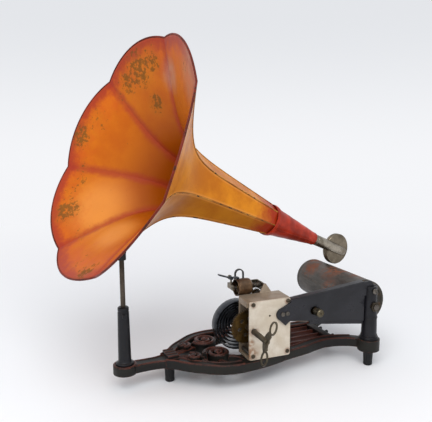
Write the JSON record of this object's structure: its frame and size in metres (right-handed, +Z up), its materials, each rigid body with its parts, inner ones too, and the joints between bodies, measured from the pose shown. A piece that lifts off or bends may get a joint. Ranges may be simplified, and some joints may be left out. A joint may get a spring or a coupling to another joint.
{
  "type": "cylinder phonograph",
  "caption": "Small cylinder phonograph: lyre-shaped cast base on feet, open spring motor with winding key, belt-driven tapered mandrel, and petalled horn on a swivelling, tilting stand.",
  "frame": {"origin": "centre of the front foot's floor face, under the neck of the lyre base", "axes": "+Z up, +X along the base from the horn's rod to the mandrel, +Y away from the motor's front plate towards the mandrel's free end"},
  "size_m": [0.3457, 0.2319, 0.3352],
  "materials": {
    "cast_black": "worn black enamel with faint bronzing",
    "black_steel": "black enamel",
    "post_grey": "dark grey enamel",
    "steel": "dull steel",
    "spring_steel": "blued steel",
    "horn_orange": "hand-painted orange with crimson edges",
    "horn_red": "crimson paint",
    "nickel": "aged nickel plate",
    "mica": "clear mica",
    "gasket": "red rubber",
    "jewel": "polished",
    "mandrel_metal": "brown-grey patina with rust",
    "belt_leather": "dark oiled leather",
    "plate_cream": "worn silver-cream lacquer",
    "brass": "tarnished"
  },
  "bodies": {
    "base": {"lyre_base": "cast_black", "lyre_strings": "cast_black", "feet": "black_steel", "horn_socket": "black_steel", "support_rod": "steel", "rod_screw": "steel", "rear_post": "post_grey", "spindle": "steel", "spindle_nuts": "steel", "drive_belt": "belt_leather", "arm_plate": "post_grey", "arm_screws": "steel", "guide_stud": "steel", "front_plate": "plate_cream", "plate_screws": "steel", "motor_frame": "plate_cream", "pillars": "steel", "frame_screws": "steel", "mainspring": "spring_steel", "spring_post": "steel", "governor_bracket": "brass", "strap_loop": "black_steel"},
    "horn_yoke": {"swivel_fork": "steel", "tilt_pin": "steel"},
    "horn": {"horn_bracket": "horn_orange", "horn_panel_1": "horn_orange", "horn_panel_2": "horn_orange", "horn_panel_3": "horn_orange", "horn_panel_4": "horn_orange", "horn_panel_5": "horn_orange", "horn_panel_6": "horn_orange", "horn_panel_7": "horn_orange", "horn_ring": "horn_red", "horn_cone": "horn_red"},
    "reproducer": {"sound_tube": "nickel", "sound_box": "nickel", "box_gasket": "gasket", "diaphragm": "mica", "clamp_ring": "nickel", "stylus": "jewel"},
    "mandrel": {"mandrel_shell": "mandrel_metal", "mandrel_rim": "mandrel_metal", "mandrel_cap": "mandrel_metal"},
    "guide": {"guide_wheel": "brass"},
    "drive_train": {"drive_arbor": "steel", "drive_pulley": "brass"},
    "second_train": {"second_arbor": "steel", "second_wheel": "brass"},
    "third_train": {"third_arbor": "steel", "governor_wheel": "brass"},
    "great_train": {"great_wheel": "brass", "click_spring": "steel"},
    "governor": {"governor_spindle": "steel", "governor_cup": "brass", "governor_weights": "brass"},
    "winding": {"winding_arbor": "steel", "winding_key": "brass", "ratchet_wheel": "steel"},
    "pawl": {"click": "steel"},
    "brake": {"brake_lever": "steel"}
  },
  "joints": [
    {"name": "horn_swivel", "type": "hinge", "parent": "base", "child": "horn_yoke", "pos_m": [-0.04495, -0.00204, 0.14], "axis": [0, 0, 1], "range_deg": [-17, 3]},
    {"name": "horn_tilt", "type": "hinge", "parent": "horn_yoke", "child": "horn", "pos_m": [-0.04495, -0.00204, 0.14], "axis": [0.2028, -0.9792, 0], "range_deg": [0, 20]},
    {"name": "reproducer_turn", "type": "hinge", "parent": "horn", "child": "reproducer", "pos_m": [0.22455, 0.05377, 0.10249], "axis": [0.8939, 0.1851, -0.4083], "range_deg": [-90, 0]},
    {"name": "mandrel_spin", "type": "hinge", "parent": "base", "child": "mandrel", "pos_m": [0.2052, 0.02, 0.0657], "axis": [0, 1, 0], "continuous": true},
    {"name": "guide_spin", "type": "hinge", "parent": "base", "child": "guide", "pos_m": [0.141, -0.0308, 0.06708], "axis": [0, 1, 0], "continuous": true},
    {"name": "drive_spin", "type": "hinge", "parent": "base", "child": "drive_train", "pos_m": [0.10501, -0.03, 0.06655], "axis": [0, 1, 0], "continuous": true},
    {"name": "second_spin", "type": "hinge", "parent": "base", "child": "second_train", "pos_m": [0.08922, -0.025, 0.06913], "axis": [0, 1, 0], "continuous": true},
    {"name": "third_spin", "type": "hinge", "parent": "base", "child": "third_train", "pos_m": [0.08922, -0.012, 0.08213], "axis": [0, 1, 0], "continuous": true},
    {"name": "great_spin", "type": "hinge", "parent": "base", "child": "great_train", "pos_m": [0.0725, -0.026, 0.0553], "axis": [0, 1, 0], "continuous": true},
    {"name": "governor_spin", "type": "hinge", "parent": "base", "child": "governor", "pos_m": [0.08922, -0.01, 0.09089], "axis": [1, 0, 0], "continuous": true},
    {"name": "key_wind", "type": "hinge", "parent": "great_train", "child": "winding", "pos_m": [0.0725, -0.042, 0.0553], "axis": [0, 1, 0], "continuous": true},
    {"name": "click_lift", "type": "hinge", "parent": "great_train", "child": "pawl", "pos_m": [0.07398, -0.0238, 0.06739], "axis": [0, -1, 0], "range_deg": [0, 6], "stiffness_Nm_per_rad": 0.002},
    {"name": "brake_turn", "type": "hinge", "parent": "base", "child": "brake", "pos_m": [0.06222, -0.009, 0.10109], "axis": [0, -1, 0], "range_deg": [0, 10]}
  ],
  "couplings": [
    {"joint": "guide_spin", "follows": "mandrel_spin", "ratio": 1.8133},
    {"joint": "drive_spin", "follows": "mandrel_spin", "ratio": 2.7834},
    {"joint": "second_spin", "follows": "mandrel_spin", "ratio": -0.64233},
    {"joint": "third_spin", "follows": "mandrel_spin", "ratio": 1.4452},
    {"joint": "great_spin", "follows": "mandrel_spin", "ratio": 0.18735},
    {"joint": "governor_spin", "follows": "mandrel_spin", "ratio": -7.2262}
  ]
}
